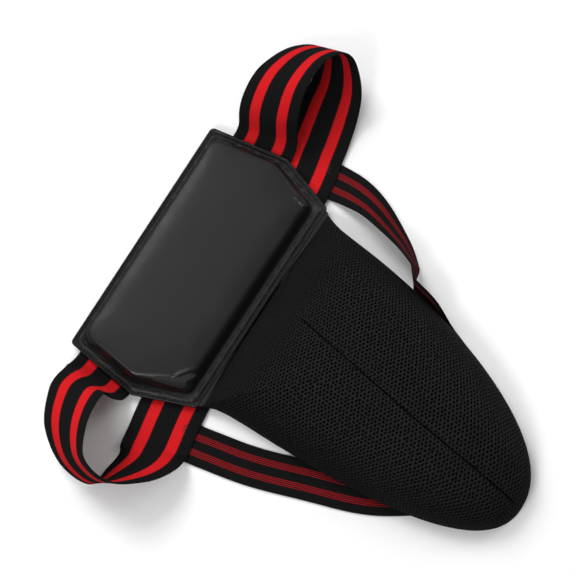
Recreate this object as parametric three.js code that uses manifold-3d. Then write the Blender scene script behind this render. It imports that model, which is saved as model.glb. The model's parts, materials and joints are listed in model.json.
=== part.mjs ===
// Groin protector for boxing and martial arts, lying on its back with its straps spread out.
// Millimetres. +X runs across the wearer, +Y towards the waist, +Z out of the front.
// Origin: middle of the footprint, on the surface that the protector lies on. The functions below
// measure from the middle of the pad's lower edge, and the finished group is moved at the end.

import * as THREE from 'three';
import { mergeVertices } from 'three/addons/utils/BufferGeometryUtils.js';
import Module from 'manifold-3d';

const wasm = await Module();
wasm.setup();

// ---- driving dimensions ----
const GAP = 0.3;                 // clearance between neighbouring pieces
const BAND_CUT = 1.5;            // clearance where a moving strap carries on from a fixed one

const PAD_HEIGHT = 110.5;        // lower edge to waist edge
const PAD_LOWER_HALF = 92.5;     // half width at the lower edge
const PAD_WIDEST_HALF = 110.5;   // half width at the side corners
const PAD_WIDEST_Y = 48;
const PAD_UPPER_HALF = 101;      // half width at the waist edge
const PAD_WAIST_DIP = 3;         // how far the waist edge curves in
const PAD_CORNER_RADIUS = 4;
const PAD_BORDER = 8;            // flat stitched border
const PILLOW_WALL = 5;           // width over which the pillow rises
const PILLOW_FOOT_SHIFT = 1.5;   // how far the pillow's foot sits towards the waist edge
const PILLOW_TOP_SHIFT = 4;      // and its flat top, which makes the lower wall the gentlest
const PILLOW_RISE = 13;
const LINING_THICK = 1;
const LEATHER_THICK = 1.3;
const STITCH_INSET = 2.6;
const THREAD_RADIUS = 0.35;
const TAPE_WIDTH = 1.6;

const WAIST_WIDTH = 50;
const WAIST_THICK = 1.6;
const LEG_WIDTH = 30;
const LEG_THICK = 1.4;
const STRAP_END = 28;            // length of leg strap sewn under the waistband

// heights above the surface that the protector lies on
const LEG_Z = 1;
const BACK_RUN_Z = 2.7;
const FRONT_RUN_Z = 4.7;
const PAD_REAR_Z = FRONT_RUN_Z + WAIST_THICK / 2 + 0.4;
const PAD_BORDER_Z = PAD_REAR_Z + LINING_THICK + GAP + 1.5;

const POUCH_LENGTH = 243;
const POUCH_HALF = 83;
const POUCH_SIDE_POWER = 0.89;   // below 1 makes the outline blunter than an ellipse
const POUCH_LEAN = 26;           // sideways drift of the tip
const LEAN_POWER = 1.5;
const CREST_Y = -100;
const POUCH_RISE = 46;
const TOP_RISE = 14;             // distance over which the pouch climbs from its fold
const MESH_THICK = 3;
const LINER_THICK = 4;
const LINER_GAP = 0.9;
const DOME_POWER = 2.4;          // above 2 makes the sides steeper than an ellipse
const POUCH_BASE_Z = 5.7;
const POUCH_REAR_Z = 4.4;
const BINDING_WIDTH = 3.4;
const FOLD_CLEARANCE = 1;        // pouch starts this far below the pad's lower edge

const CUP_CENTRE_Y = -92;
const CUP_HALF = 58;
const CUP_UPPER = 56;
const CUP_LOWER = 96;
const CUP_FLANGE = 8;
const CUP_RISE = 31;
const CUP_THICK = 2.6;
const CUP_VENT_RADIUS = 3.6;
const CUSHION_THICK = 2.9;

// Waistband centre line as stations: x, y, z, then the band's width direction as a yaw from -Y
// towards +X and a pitch above the floor, in degrees.
const LOOP_RIGHT = [
  [112, 70, FRONT_RUN_Z, 0, 0],
  [116.5, 70, 9.8, 7, 4],
  [128, 76, 29.3, 7, 12],
  [152.6, 79.5, 42.8, -2, 26],
  [182.2, 74.2, 39.5, -9, 42],
  [198, 60, 30.2, -10, 48],
  [182, 47.1, 15.5, -2, 29],
  [159.4, 41.9, 6, 7, 9],
  [136, 37, 3, 10, 0],
];
const LOOP_LEFT = [
  [-112, 74.5, FRONT_RUN_Z, 0, 0],
  [-118.7, 74.5, 20.3, -3, 9],
  [-127.6, 78.9, 31.6, 9, 28],
  [-156, 71, 38.3, 22, 43],
  [-176.2, 53.4, 33.7, 24, 61],
  [-179.3, 28.3, 27.1, 19, 65],
  [-164, 16.8, 20.7, 9, 44],
  [-145, 9.5, 12.1, 9, 22],
  [-132.5, 11.5, 3, 9, 0],
];
// Leg strap stations, from the waistband to the pouch tip. The right one turns over on its way.
const LEG_RIGHT = [
  [116, 5, LEG_Z, 92, 0],
  [116, -8, 4, 91, -10],
  [112.5, -27, 9, 85, -29],
  [105, -47, 12.8, 74, -44],
  [96, -67, 14.5, 64, -59],
  [85, -84, 15.8, 60, -75],
  [77.5, -96, 16, 57, -90],
  [78, -104.5, 14, 50, -120],
  [76.5, -112, 7, 42, -158],
  [68, -120, 1.9, 38, -180],
  [48, -133, 1.8, 39, -180],
  [16, -160, 2, 47, -180],
  [-16, -203, 2.9, 53, -180],
];
const LEG_LEFT = [
  [-115, -16, LEG_Z, -81, 0],
  [-107, -56, LEG_Z, -78, 0],
  [-94, -97, LEG_Z, -72, 0],
  [-78, -143, LEG_Z, -66, 0],
  [-56, -178, LEG_Z, -58, 0],
  [-37, -207, LEG_Z, -56, 0],
];

// ---- materials ----
const leather = () => new THREE.MeshStandardMaterial({ color: 0x17171a, roughness: 0.35 });
const lining = () => new THREE.MeshStandardMaterial({ color: 0x1c1c1e, roughness: 0.9 });
const foam = () => new THREE.MeshStandardMaterial({ color: 0x3a3a3c, roughness: 0.95 });
const waistWebbing = () => new THREE.MeshStandardMaterial({ color: 0xb5202a, roughness: 0.85 });
const legWebbing = () => new THREE.MeshStandardMaterial({ color: 0x8c1a24, roughness: 0.85 });
const spacerMesh = () => new THREE.MeshStandardMaterial({ color: 0x151516, roughness: 0.8 });
const thread = () => new THREE.MeshStandardMaterial({ color: 0x0d0d0d, roughness: 0.6 });
const plastic = () => new THREE.MeshStandardMaterial({ color: 0x2a2a2d, roughness: 0.45 });
const rubber = () => new THREE.MeshStandardMaterial({ color: 0x202022, roughness: 0.75 });

// ---- geometry helpers ----
const radians = THREE.MathUtils.degToRad;

// Joins rings of equal length into one closed body. Flat outlines are capped by triangulation;
// a closed loft joins its last ring to its first and has no caps. The second half of a ring is
// split along the other diagonal, so that the two faces of a twisted strap stay parallel.
function loft(rings, { closed = false, planar = false } = {}) {
  const count = rings[0].length;
  const positions = rings.flat().flatMap((p) => [p.x, p.y, p.z]);
  const faces = [];
  const bands = closed ? rings.length : rings.length - 1;
  for (let k = 0; k < bands; k++) {
    const a = k * count;
    const b = ((k + 1) % rings.length) * count;
    for (let i = 0; i < count; i++) {
      const j = (i + 1) % count;
      if (i < count / 2) faces.push(a + i, b + i, b + j, a + i, b + j, a + j);
      else faces.push(a + i, b + i, a + j, b + i, b + j, a + j);
    }
  }
  if (!closed) {
    const last = (rings.length - 1) * count;
    for (const [p, q, r] of capFaces(rings[0], planar)) faces.push(p, q, r);
    for (const [p, q, r] of capFaces(rings.at(-1), planar)) faces.push(last + p, last + r, last + q);
  }
  const geometry = new THREE.BufferGeometry();
  geometry.setAttribute('position', new THREE.Float32BufferAttribute(positions, 3));
  geometry.setIndex(faces);
  return geometry;
}

function capFaces(ring, planar) {
  if (planar) return THREE.ShapeUtils.triangulateShape(ring.map((p) => new THREE.Vector2(p.x, p.y)), []);
  return Array.from({ length: ring.length - 2 }, (_, i) => [0, i + 1, i + 2]);
}

function atHeight(outline, z) {
  return outline.map((p) => new THREE.Vector3(p.x, p.y, z));
}

// A flat plate between two heights, with any holes through it.
function plate(outline, bottom, top, holes = []) {
  const shape = new THREE.Shape(outline);
  shape.holes = holes.map((hole) => new THREE.Path(hole));
  const geometry = new THREE.ExtrudeGeometry(shape, { depth: top - bottom, bevelEnabled: false });
  return geometry.translate(0, 0, bottom);
}

// A strap of rectangular section that follows its stations.
function ribbon(stations, width, thickness, steps) {
  const path = new THREE.CatmullRomCurve3(stations.map(([x, y, z]) => new THREE.Vector3(x, y, z)));
  const lay = new THREE.CatmullRomCurve3(
    stations.map(([, , , yaw, pitch]) => new THREE.Vector3(yaw, pitch, 0)), false, 'catmullrom');
  const rings = [];
  for (let k = 0; k <= steps; k++) {
    const t = k / steps;
    const centre = path.getPoint(t);
    const along = path.getTangent(t);
    const { x: yaw, y: pitch } = lay.getPoint(t);
    const across = new THREE.Vector3(
      Math.sin(radians(yaw)) * Math.cos(radians(pitch)),
      -Math.cos(radians(yaw)) * Math.cos(radians(pitch)),
      Math.sin(radians(pitch)));
    across.addScaledVector(along, -across.dot(along)).normalize();
    const normal = new THREE.Vector3().crossVectors(across, along);
    const corner = (u, v) => centre.clone()
      .addScaledVector(across, (u * width) / 2)
      .addScaledVector(normal, (v * thickness) / 2);
    rings.push([corner(1, -1), corner(1, 1), corner(-1, 1), corner(-1, -1)]);
  }
  return loft(rings);
}

// A round thread along a list of points.
function threadAlong(points, radius, closed) {
  const sides = 5;
  const rings = points.map((point, k) => {
    const before = points[closed ? (k + points.length - 1) % points.length : Math.max(k - 1, 0)];
    const after = points[closed ? (k + 1) % points.length : Math.min(k + 1, points.length - 1)];
    const along = after.clone().sub(before).normalize();
    const side = new THREE.Vector3(0, 0, 1).cross(along).normalize();
    const up = new THREE.Vector3().crossVectors(along, side);
    return Array.from({ length: sides }, (_, i) => {
      const angle = (-2 * Math.PI * i) / sides;
      return point.clone()
        .addScaledVector(side, radius * Math.cos(angle))
        .addScaledVector(up, radius * Math.sin(angle));
    });
  });
  return loft(rings, { closed });
}

function toSolid(geometry) {
  const bare = geometry.clone();
  bare.deleteAttribute('normal');
  bare.deleteAttribute('uv');
  const merged = mergeVertices(bare, 1e-4);
  return new wasm.Manifold(new wasm.Mesh({
    numProp: 3,
    vertProperties: new Float32Array(merged.attributes.position.array),
    triVerts: new Uint32Array(merged.index.array),
  }));
}

function toGeometry(solid) {
  const { vertProperties, triVerts } = solid.getMesh();
  const geometry = new THREE.BufferGeometry();
  geometry.setAttribute('position', new THREE.Float32BufferAttribute(vertProperties, 3));
  geometry.setIndex(Array.from(triVerts));
  return geometry;
}

// ---- pad ----
// The pad's six-sided outline, moved inwards, anticlockwise from the lower left corner.
function padOutline(inset = 0) {
  const corners = [
    [-PAD_LOWER_HALF, 0], [PAD_LOWER_HALF, 0], [PAD_WIDEST_HALF, PAD_WIDEST_Y],
    [PAD_UPPER_HALF, PAD_HEIGHT], [-PAD_UPPER_HALF, PAD_HEIGHT], [-PAD_WIDEST_HALF, PAD_WIDEST_Y],
  ].map(([x, y]) => new THREE.Vector2(x, y));
  const radius = PAD_CORNER_RADIUS + inset * 0.45;
  const points = corners.flatMap((corner, i) => {
    const before = corners[(i + 5) % 6].clone().sub(corner).normalize();
    const after = corners[(i + 1) % 6].clone().sub(corner).normalize();
    return roundedCorner(corner, before, after, inset, radius);
  });
  return points.flatMap((point, i) => {
    const next = points[(i + 1) % points.length];
    const onWaistEdge = point.y > PAD_WIDEST_Y + inset && next.y > PAD_WIDEST_Y + inset;
    if (!onWaistEdge || point.distanceTo(next) < PAD_UPPER_HALF) return [point];
    return [point, ...waistEdge(point, next)];
  });
}

// Points between two waist corners, on a shallow arc that dips towards the pad's centre.
function waistEdge(from, to) {
  const pieces = 8;
  return Array.from({ length: pieces - 1 }, (_, i) => {
    const t = (i + 1) / pieces;
    return from.clone().lerp(to, t).add(new THREE.Vector2(0, -PAD_WAIST_DIP * 4 * t * (1 - t)));
  });
}

// An arc in a corner whose two sides have been moved inwards by inset.
function roundedCorner(corner, before, after, inset, radius) {
  const half = before.angleTo(after) / 2;
  const bisector = before.clone().add(after).normalize();
  const centre = corner.clone().addScaledVector(bisector, (inset + radius) / Math.sin(half));
  const middle = Math.atan2(-bisector.y, -bisector.x);
  const sweep = Math.PI / 2 - half;
  const pieces = 3;
  return Array.from({ length: pieces + 1 }, (_, i) => {
    const angle = middle + sweep * ((2 * i) / pieces - 1);
    return new THREE.Vector2(Math.cos(angle), Math.sin(angle)).multiplyScalar(radius).add(centre);
  });
}

// The pad's outline moved inwards and then towards the waist edge.
const pillowOutline = (inset, shift) =>
  padOutline(inset).map((p) => new THREE.Vector2(p.x, p.y + shift));

// Rings of the pillow from its flat top down to the border, shrunk all round by the given depth.
function pillowRings(depth) {
  const steps = 5;
  return Array.from({ length: steps + 1 }, (_, i) => {
    const angle = (Math.PI / 2) * (1 - i / steps);
    const inwards = 1 - Math.cos(angle);
    const shift = PILLOW_FOOT_SHIFT + (PILLOW_TOP_SHIFT - PILLOW_FOOT_SHIFT) * inwards;
    const z = PAD_BORDER_Z + (PILLOW_RISE - depth) * Math.sin(angle);
    return atHeight(pillowOutline(PAD_BORDER + depth + PILLOW_WALL * inwards, shift), z);
  });
}

function padCover() {
  const underside = PAD_REAR_Z + LINING_THICK + GAP;
  const inside = pillowRings(LEATHER_THICK).reverse();
  return loft([
    ...pillowRings(0),
    atHeight(padOutline(0), PAD_BORDER_Z),
    atHeight(padOutline(0), underside),
    atHeight(pillowOutline(PAD_BORDER + LEATHER_THICK, PILLOW_FOOT_SHIFT), underside),
    ...inside.slice(1),
  ], { planar: true });
}

function padFoam() {
  const underside = PAD_REAR_Z + LINING_THICK + GAP;
  const margin = LEATHER_THICK + GAP;
  return loft([
    ...pillowRings(margin),
    atHeight(pillowOutline(PAD_BORDER + margin, PILLOW_FOOT_SHIFT), underside),
  ], { planar: true });
}

const padLining = () => plate(padOutline(0), PAD_REAR_Z, PAD_REAR_Z + LINING_THICK);

function padEdgeStitching() {
  const z = PAD_BORDER_Z + THREAD_RADIUS + 0.05;
  return threadAlong(atHeight(padOutline(STITCH_INSET), z), THREAD_RADIUS, true);
}

// The extra stitched box where the pad was closed, on the border beside its lower left corner.
function padClosingStitching() {
  const corner = new THREE.Vector2(-PAD_LOWER_HALF, 0);
  const along = new THREE.Vector2(-PAD_WIDEST_HALF, PAD_WIDEST_Y).sub(corner).normalize();
  const inwards = new THREE.Vector2(along.y, -along.x);
  const box = [[5, 3.9], [24, 3.9], [24, 7], [5, 7]];
  return threadAlong(box.map(([length, inset]) => {
    const at = corner.clone().addScaledVector(along, length).addScaledVector(inwards, inset);
    return new THREE.Vector3(at.x, at.y, PAD_BORDER_Z + THREAD_RADIUS + 0.05);
  }), THREAD_RADIUS, true);
}

// The folded tape along the pad's lower edge that the pouch hangs from.
function foldTape() {
  const half = PAD_LOWER_HALF - 6;
  const stations = [-half, 0, half].map((x) => [x, 1, PAD_BORDER_Z + 0.55, 0, 0]);
  return ribbon(stations, TAPE_WIDTH, 0.8, 6);
}

// ---- pouch ----
const leanAt = (y) => -POUCH_LEAN * Math.pow(Math.abs(y) / POUCH_LENGTH, LEAN_POWER);

// The pouch's outline, moved inwards: a straight upper edge and a blunt half ellipse that leans.
function pouchOutline(inset) {
  const half = POUCH_HALF - inset;
  const top = -FOLD_CLEARANCE - inset;
  const length = POUCH_LENGTH - inset + top;
  const curvePieces = 30;
  const topPieces = 10;
  const curve = Array.from({ length: curvePieces + 1 }, (_, i) => {
    const angle = Math.PI + (Math.PI * i) / curvePieces;
    const y = top + length * Math.sin(angle);
    const reach = Math.sign(Math.cos(angle)) * Math.pow(Math.abs(Math.cos(angle)), POUCH_SIDE_POWER);
    return new THREE.Vector2(leanAt(y) + half * reach, y);
  });
  const edge = Array.from({ length: topPieces - 1 }, (_, i) =>
    new THREE.Vector2(leanAt(top) + half * (1 - (2 * (i + 1)) / topPieces), top));
  return [...curve, ...edge];
}

// An egg-shaped outline for the cup and its rim.
function cupOutline(grow) {
  const pieces = 40;
  return Array.from({ length: pieces }, (_, i) => {
    const angle = (2 * Math.PI * i) / pieces;
    const reach = grow + (Math.sin(angle) > 0 ? CUP_UPPER : CUP_LOWER);
    const y = CUP_CENTRE_Y + reach * Math.sin(angle);
    return new THREE.Vector2(leanAt(y) + (CUP_HALF + grow) * Math.cos(angle), y);
  });
}

// Rings of a dome from its crest down to its base outline.
function domeRings(outline, crest, base, rise, heightAt = () => 1) {
  const steps = 9;
  return Array.from({ length: steps }, (_, i) => {
    const angle = (Math.PI / 2) * (1 - (i + 1) / steps);
    const spread = Math.pow(Math.cos(angle), 2 / DOME_POWER);
    return outline.map((p) => {
      const at = p.clone().sub(crest).multiplyScalar(spread).add(crest);
      return new THREE.Vector3(at.x, at.y, base + rise * Math.sin(angle) * heightAt(at.y));
    });
  });
}

// How much of its full height the pouch has reached at a distance below the fold.
const climb = (y) => 1 - Math.exp(y / TOP_RISE);

const pouchCrest = new THREE.Vector2(leanAt(CREST_Y), CREST_Y);

function pouchShell(inset, thickness) {
  const surface = (depth) =>
    domeRings(pouchOutline(depth), pouchCrest, POUCH_BASE_Z, POUCH_RISE - depth, climb);
  return loft([...surface(inset), ...surface(inset + thickness).reverse()], { planar: true });
}

// The seam from below the fold, over the crest, to the tip.
function pouchCentreSeam() {
  const lift = 1.2;
  const towards = (x, y, spread) => {
    const at = new THREE.Vector2(x, y).sub(pouchCrest).multiplyScalar(spread).add(pouchCrest);
    const rise = POUCH_RISE * Math.sqrt(1 - Math.pow(spread, DOME_POWER)) * climb(at.y);
    return new THREE.Vector3(at.x, at.y, POUCH_BASE_Z + rise + lift);
  };
  const upper = [0.7, 0.5, 0.3].map((spread) => towards(leanAt(0), 0, spread));
  const lower = [0, 0.2, 0.4, 0.55, 0.7, 0.8, 0.88, 0.93].map((spread) =>
    towards(leanAt(-POUCH_LENGTH), -POUCH_LENGTH, spread));
  return threadAlong([...upper, ...lower], 0.5, false);
}

// Opening in the pouch's back for taking the cup out.
function cupOpening(grow) {
  const pieces = 28;
  return Array.from({ length: pieces }, (_, i) => {
    const angle = (2 * Math.PI * i) / pieces;
    const y = CUP_CENTRE_Y + 22 + (34 + grow) * Math.sin(angle);
    return new THREE.Vector2(leanAt(y) + (46 + grow) * Math.cos(angle), y);
  });
}

const pouchLining = () =>
  plate(pouchOutline(BINDING_WIDTH + GAP), POUCH_REAR_Z, POUCH_REAR_Z + LINING_THICK, [cupOpening(0)]);

const pouchEdgeBinding = () =>
  plate(pouchOutline(0), POUCH_REAR_Z, POUCH_REAR_Z + LINING_THICK, [pouchOutline(BINDING_WIDTH)]);

const cupOpeningElastic = () =>
  plate(cupOpening(-GAP), POUCH_REAR_Z - 0.2, POUCH_REAR_Z + LINING_THICK, [cupOpening(-4)]);

// ---- cup ----
const cupBaseZ = POUCH_BASE_Z + GAP + CUSHION_THICK + GAP;
const cupCrest = new THREE.Vector2(leanAt(CUP_CENTRE_Y), CUP_CENTRE_Y);

function cupShell() {
  const outside = domeRings(cupOutline(0), cupCrest, cupBaseZ + CUP_THICK, CUP_RISE - CUP_THICK);
  const inside = domeRings(cupOutline(-CUP_THICK), cupCrest, cupBaseZ, CUP_RISE - CUP_THICK);
  const shell = loft([
    ...outside,
    atHeight(cupOutline(CUP_FLANGE), cupBaseZ + CUP_THICK),
    atHeight(cupOutline(CUP_FLANGE), cupBaseZ),
    ...inside.reverse(),
  ], { planar: true });
  return toGeometry(cupVents().reduce((solid, vent) => solid.subtract(toSolid(vent)), toSolid(shell)));
}

// Two rings of round breathing holes around the crest.
function cupVents() {
  const rings = [[0.32, 5], [0.6, 8]];
  return rings.flatMap(([spread, count]) => Array.from({ length: count }, (_, i) => {
    const angle = (2 * Math.PI * (i + 0.5)) / count;
    const reach = Math.sin(angle) > 0 ? CUP_UPPER : CUP_LOWER;
    const x = cupCrest.x + CUP_HALF * spread * Math.cos(angle);
    const y = cupCrest.y + reach * spread * Math.sin(angle);
    return new THREE.CylinderGeometry(CUP_VENT_RADIUS, CUP_VENT_RADIUS, 2 * CUP_RISE, 12)
      .rotateX(Math.PI / 2)
      .translate(x, y, cupBaseZ + CUP_RISE);
  }));
}

const cupCushion = () => plate(
  cupOutline(CUP_FLANGE), cupBaseZ - GAP - CUSHION_THICK, cupBaseZ - GAP, [cupOutline(-3)]);

// ---- straps ----
function waistbandFront() {
  const [rightX, rightY] = LOOP_RIGHT[0];
  const [leftX, leftY] = LOOP_LEFT[0];
  return ribbon([
    [leftX + BAND_CUT, leftY, FRONT_RUN_Z, 0, 0],
    [0, (leftY + rightY) / 2, FRONT_RUN_Z, 0, 0],
    [rightX - BAND_CUT, rightY, FRONT_RUN_Z, 0, 0],
  ], WAIST_WIDTH, WAIST_THICK, 12);
}

function waistbandBack() {
  const [rightX, rightY, rightZ, rightYaw, rightPitch] = LOOP_RIGHT.at(-1);
  const [leftX, leftY, leftZ, leftYaw, leftPitch] = LOOP_LEFT.at(-1);
  return ribbon([
    [rightX - BAND_CUT, rightY, rightZ, rightYaw, rightPitch],
    [rightX - 38, rightY - 7, BACK_RUN_Z, 10, 0],
    [leftX + 35, leftY + 5.5, BACK_RUN_Z, 10, 0],
    [leftX + BAND_CUT, leftY, leftZ, leftYaw, leftPitch],
  ], WAIST_WIDTH, WAIST_THICK, 16);
}

const waistbandLoop = (stations) => ribbon(stations, WAIST_WIDTH, WAIST_THICK, 36);

const legStrap = (stations) => ribbon(stations, LEG_WIDTH, LEG_THICK, 36);

// The strap's sewn end, running on under the waistband from the strap's first station.
function legStrapEnd([x, y, z, yaw], side) {
  const tilt = radians(yaw - side * 90);
  const run = new THREE.Vector2(-Math.sin(tilt), Math.cos(tilt));
  const at = (length) => [x + run.x * length, y + run.y * length, z, yaw, 0];
  return ribbon([at(STRAP_END), at(BAND_CUT)], LEG_WIDTH, LEG_THICK, 2);
}

// A short zigzag of thread through the waistband over a strap's sewn end.
function bartack([x, y], yaw) {
  const teeth = 2;
  const z = BACK_RUN_Z + WAIST_THICK / 2 + THREAD_RADIUS + 0.35;
  const along = new THREE.Vector2(Math.cos(radians(yaw)), Math.sin(radians(yaw)));
  return threadAlong(Array.from({ length: 2 * teeth + 1 }, (_, i) => {
    const run = (i - teeth) * 1.6;
    const swing = i % 2 ? 1.8 : -1.8;
    return new THREE.Vector3(x + along.x * run - along.y * swing, y + along.y * run + along.x * swing, z);
  }), THREAD_RADIUS, false);
}

// ---- assembly ----
const protector = new THREE.Group();

function add(name, geometry, material) {
  const mesh = new THREE.Mesh(geometry, material);
  mesh.name = name;
  protector.add(mesh);
}

add('pad_cover', padCover(), leather());
add('pad_foam_core', padFoam(), foam());
add('pad_back_lining', padLining(), lining());
add('pad_edge_stitching', padEdgeStitching(), thread());
add('pad_closing_stitching', padClosingStitching(), thread());
add('pouch_fold_tape', foldTape(), leather());
add('waistband_front', waistbandFront(), waistWebbing());
add('waistband_back', waistbandBack(), waistWebbing());
add('waistband_loop_right', waistbandLoop(LOOP_RIGHT), waistWebbing());
add('waistband_loop_left', waistbandLoop(LOOP_LEFT), waistWebbing());
add('leg_strap_end_right', legStrapEnd(LEG_RIGHT[0], 1), legWebbing());
add('leg_strap_end_left', legStrapEnd(LEG_LEFT[0], -1), legWebbing());
add('leg_strap_bartack_right', bartack([122, 17], 10), thread());
add('leg_strap_bartack_left', bartack([-110, 0], 10), thread());
add('leg_strap_right', legStrap(LEG_RIGHT), legWebbing());
add('leg_strap_left', legStrap(LEG_LEFT), legWebbing());
add('pouch_mesh_cover', pouchShell(0, MESH_THICK), spacerMesh());
add('pouch_centre_seam', pouchCentreSeam(), thread());
add('pouch_foam_liner', pouchShell(MESH_THICK + LINER_GAP, LINER_THICK), foam());
add('pouch_back_lining', pouchLining(), lining());
add('pouch_edge_binding', pouchEdgeBinding(), lining());
add('cup_opening_elastic', cupOpeningElastic(), lining());
add('cup_shell', cupShell(), plastic());
add('cup_rim_cushion', cupCushion(), rubber());

const extent = new THREE.Box3().setFromObject(protector);
const middle = extent.getCenter(new THREE.Vector3());
protector.position.set(-middle.x, -middle.y, -extent.min.z);

export default protector;
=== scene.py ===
"""Groin protector lying on a pale floor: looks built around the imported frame.

Lengths are metres unless a name ends in _MM. +Z points out of the pad's front, +Y towards the waist.
Shapes are laid out from the middle of the pad's lower edge, which at() turns into frame positions.
"""
import json
from math import acos, atan2, copysign, cos, pi, radians, sin, sqrt

import bmesh
import bpy
import numpy as np
from mathutils import Matrix, Vector
from mathutils.bvhtree import BVHTree


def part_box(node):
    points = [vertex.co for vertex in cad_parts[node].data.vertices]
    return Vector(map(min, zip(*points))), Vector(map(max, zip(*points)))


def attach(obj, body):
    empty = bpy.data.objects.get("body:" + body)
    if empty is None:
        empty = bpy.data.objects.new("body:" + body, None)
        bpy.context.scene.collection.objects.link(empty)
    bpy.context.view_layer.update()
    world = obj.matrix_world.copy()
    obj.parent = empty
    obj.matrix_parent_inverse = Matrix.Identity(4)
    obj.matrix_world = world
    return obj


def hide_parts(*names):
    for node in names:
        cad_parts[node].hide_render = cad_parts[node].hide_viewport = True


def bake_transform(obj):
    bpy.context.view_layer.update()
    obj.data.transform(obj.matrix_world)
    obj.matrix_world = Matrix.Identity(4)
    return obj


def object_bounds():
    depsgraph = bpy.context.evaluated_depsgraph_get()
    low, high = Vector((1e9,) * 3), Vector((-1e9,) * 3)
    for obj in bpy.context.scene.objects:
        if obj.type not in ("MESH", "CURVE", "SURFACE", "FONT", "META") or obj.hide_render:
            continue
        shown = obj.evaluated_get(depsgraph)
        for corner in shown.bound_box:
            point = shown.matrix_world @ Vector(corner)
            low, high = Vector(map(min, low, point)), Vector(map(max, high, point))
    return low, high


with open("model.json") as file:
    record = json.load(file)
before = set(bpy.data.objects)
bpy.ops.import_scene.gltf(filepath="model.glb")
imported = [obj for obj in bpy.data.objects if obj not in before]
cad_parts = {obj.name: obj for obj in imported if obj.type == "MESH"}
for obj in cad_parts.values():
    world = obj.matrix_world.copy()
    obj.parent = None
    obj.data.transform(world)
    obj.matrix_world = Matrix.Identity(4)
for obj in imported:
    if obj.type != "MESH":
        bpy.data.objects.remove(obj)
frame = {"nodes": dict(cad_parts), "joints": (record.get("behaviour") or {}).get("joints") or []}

CAD_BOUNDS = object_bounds()
SCENE = bpy.context.scene
MM = 0.001

# ---- where things are, from the frame ----
PAD_LOW, PAD_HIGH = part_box("pad_cover")
LINING_LOW, LINING_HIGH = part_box("pad_back_lining")
POUCH_LOW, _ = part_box("pouch_mesh_cover")
BINDING_LOW, BINDING_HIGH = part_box("pouch_edge_binding")
FOLD = Vector(next(j["pos_m"] for j in frame["joints"] if j["name"] == "pouch_fold"))
ORIGIN = Vector(((PAD_LOW.x + PAD_HIGH.x) / 2, PAD_LOW.y, 0.0))
UP = Vector((0, 0, 1))


def at(x_mm, y_mm, z):
    """Frame position of a point given in mm from the middle of the pad's lower edge, at height z."""
    return Vector((ORIGIN.x + x_mm * MM, ORIGIN.y + y_mm * MM, z))


# ---- driving dimensions, mm ----
PAD_HEIGHT_MM = (PAD_HIGH.y - PAD_LOW.y) / MM
PAD_WIDEST_MM = (PAD_HIGH.x - PAD_LOW.x) / 2 / MM
PAD_LOWER_MM = 92.5
PAD_UPPER_MM = 101.0
PAD_SHOULDER_MM = 48.0
PAD_WAIST_DIP_MM = 4.5
PAD_WAIST_DIP_X_MM = -45.0
PAD_WAIST_SKEW_MM = 1.6
PAD_LOWER_BOW_MM = 3.5
PAD_LOWER_BOW_X_MM = -20.0
PAD_CORNER_MM = 4.0
PAD_BORDER_MM = 8.0
PILLOW_WALL_MM = 5.0
PILLOW_FOOT_SHIFT_MM = 1.5
PILLOW_TOP_SHIFT_MM = 4.0
TUCK_LEFT_MM = 9.0
TUCK_RIGHT_MM = 2.0
PAD_BORDER_Z = FOLD.z
PILLOW_RISE = PAD_HIGH.z - PAD_BORDER_Z
STITCH_INSET_MM = 2.6
STITCH_PITCH_MM = 3.1

POUCH_LENGTH_MM = (PAD_LOW.y - POUCH_LOW.y) / MM
POUCH_HALF_MM = 83.0
POUCH_SIDE_POWER = 0.89
POUCH_FLARE_MM = 7.0
POUCH_LEAN_MM = 26.0
LEAN_POWER = 1.5
DOME_POWER = 2.4
CREST_MM = -100.0
TOP_RISE_MM = 14.0
POUCH_BASE_Z = POUCH_LOW.z
POUCH_RISE = 46.0 * MM
FOLD_CLEARANCE_MM = 1.0

WAIST_WIDTH = 50 * MM
WAIST_THICK = 1.5 * MM
LEG_WIDTH = 30 * MM
LEG_THICK = 1.3 * MM
RIB_PITCH = 1.25 * MM
RIB_SAMPLES = 4
TOOTH_PITCH_MM = 1.9
CREASE_START_MM = -81.0
CREASE_FADE_MM = 10.0

NET_PITCH = 3.0 * MM
NET_HOLE = 0.84 * MM


# ---- node helpers ----
def set_inputs(tree, made, inputs):
    """Fills a node's sockets: another node's output socket is linked, anything else is a value."""
    for key, value in inputs.items():
        if isinstance(value, bpy.types.NodeSocket):
            tree.links.new(value, made.inputs[key])
        else:
            made.inputs[key].default_value = value


def node(tree, kind, inputs=None, output=0, **settings):
    made = tree.nodes.new(kind)
    for key, value in settings.items():
        setattr(made, key, value)
    set_inputs(tree, made, inputs or {})
    return made.outputs[output]


def maths(tree, operation, a, b=0.0):
    return node(tree, "ShaderNodeMath", {0: a, 1: b}, operation=operation)


def wave(tree, value, length):
    return maths(tree, "SINE", maths(tree, "MULTIPLY", value, 2 * pi / length))


def ramp(tree, value, low, high, to_low=0.0, to_high=1.0):
    inputs = {"Value": value, "From Min": low, "From Max": high, "To Min": to_low, "To Max": to_high}
    return node(tree, "ShaderNodeMapRange", inputs)


def spread(tree, pattern, low, high):
    """A value that follows a noise pattern from low to high."""
    return ramp(tree, pattern, 0.3, 0.7, low, high)


def mix(tree, factor, a, b):
    return node(tree, "ShaderNodeMix", {"Factor": factor, 6: a, 7: b}, output=2, data_type="RGBA")


def place(tree):
    return node(tree, "ShaderNodeTexCoord", output=3)


def axes(tree, vector):
    return node(tree, "ShaderNodeSeparateXYZ", {0: vector}).node.outputs


def noise(tree, vector, scale, detail=3.0):
    return node(tree, "ShaderNodeTexNoise", {"Vector": vector, "Scale": scale, "Detail": detail})


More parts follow.
